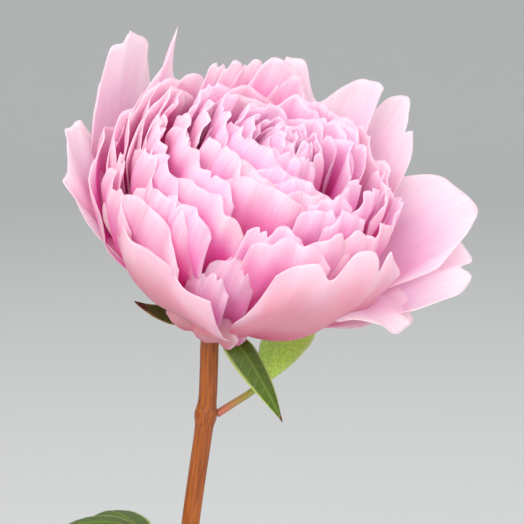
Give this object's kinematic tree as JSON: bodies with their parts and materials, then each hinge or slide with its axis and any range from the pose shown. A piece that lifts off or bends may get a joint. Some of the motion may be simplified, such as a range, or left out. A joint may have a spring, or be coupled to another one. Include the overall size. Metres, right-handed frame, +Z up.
{
  "type": "peony in a bud vase",
  "caption": "Full double peony on a leaning stem with leaves, standing in a bottle-shaped stoneware bud vase with a narrow neck.",
  "frame": {"origin": "centre of the vase's flat foot, on the surface it stands on", "axes": "+Z up through the vase; the bloom leans towards +X and -Y; -Y is the side it is seen from"},
  "size_m": [0.1742, 0.1204, 0.382],
  "materials": {
    "stoneware_glaze": "satin off-white glaze, bare clay foot",
    "peony_stem": "smooth, red-brown with lighter streaks",
    "young_leaf": "soft, light green",
    "mature_leaf": "satin, deep green with brown tips",
    "sepal": "olive green, brown at the tip",
    "petal_guard": "silky, shell pink paling to the edge",
    "petal_inner": "silky, pink, deeper towards the foot",
    "petal_heart": "silky, deep pink with pale tips"
  },
  "bodies": {
    "root": {"bract": "mature_leaf", "heart": "petal_heart", "leaf_lower": "mature_leaf", "leaf_upper": "young_leaf", "petal_back_01": "petal_inner", "petal_back_02": "petal_inner", "petal_back_03": "petal_inner", "petal_back_04": "petal_inner", "petal_back_05": "petal_inner", "petal_back_06": "petal_inner", "petal_back_07": "petal_inner", "petal_front_01": "petal_inner", "petal_front_02": "petal_inner", "petal_front_03": "petal_inner", "petal_front_04": "petal_inner", "petal_front_05": "petal_inner", "petal_front_06": "petal_inner", "petal_front_07": "petal_inner", "petal_front_08": "petal_inner", "petal_front_09": "petal_inner", "petal_front_10": "petal_inner", "petal_front_11": "petal_inner", "petal_guard_back": "petal_guard", "petal_guard_back_left": "petal_guard", "petal_guard_far": "petal_guard", "petal_guard_far_right": "petal_guard", "petal_guard_front": "petal_guard", "petal_guard_front_left": "petal_guard", "petal_guard_left": "petal_guard", "petal_guard_left_low": "petal_guard", "petal_guard_pointed": "petal_guard", "petal_guard_right_lower": "petal_guard", "petal_guard_right_upper": "petal_guard", "petal_guard_tall": "petal_guard", "petal_guard_turned_down": "petal_guard", "petal_guard_under_front": "petal_guard", "petal_left_01": "petal_inner", "petal_left_02": "petal_inner", "petal_left_03": "petal_inner", "petal_left_04": "petal_inner", "petal_left_05": "petal_inner", "petal_left_06": "petal_inner", "petal_left_07": "petal_inner", "petal_left_08": "petal_inner", "petal_left_09": "petal_inner", "petal_left_10": "petal_inner", "petal_left_11": "petal_inner", "petal_left_12": "petal_inner", "petal_left_13": "petal_inner", "petal_left_14": "petal_inner", "petal_left_15": "petal_inner", "petal_right_01": "petal_inner", "petal_right_02": "petal_inner", "petal_right_03": "petal_inner", "petal_right_04": "petal_inner", "sepal_back": "sepal", "sepal_left": "sepal", "sepal_right": "sepal", "stem": "peony_stem", "vase": "stoneware_glaze"}
  },
  "joints": []
}
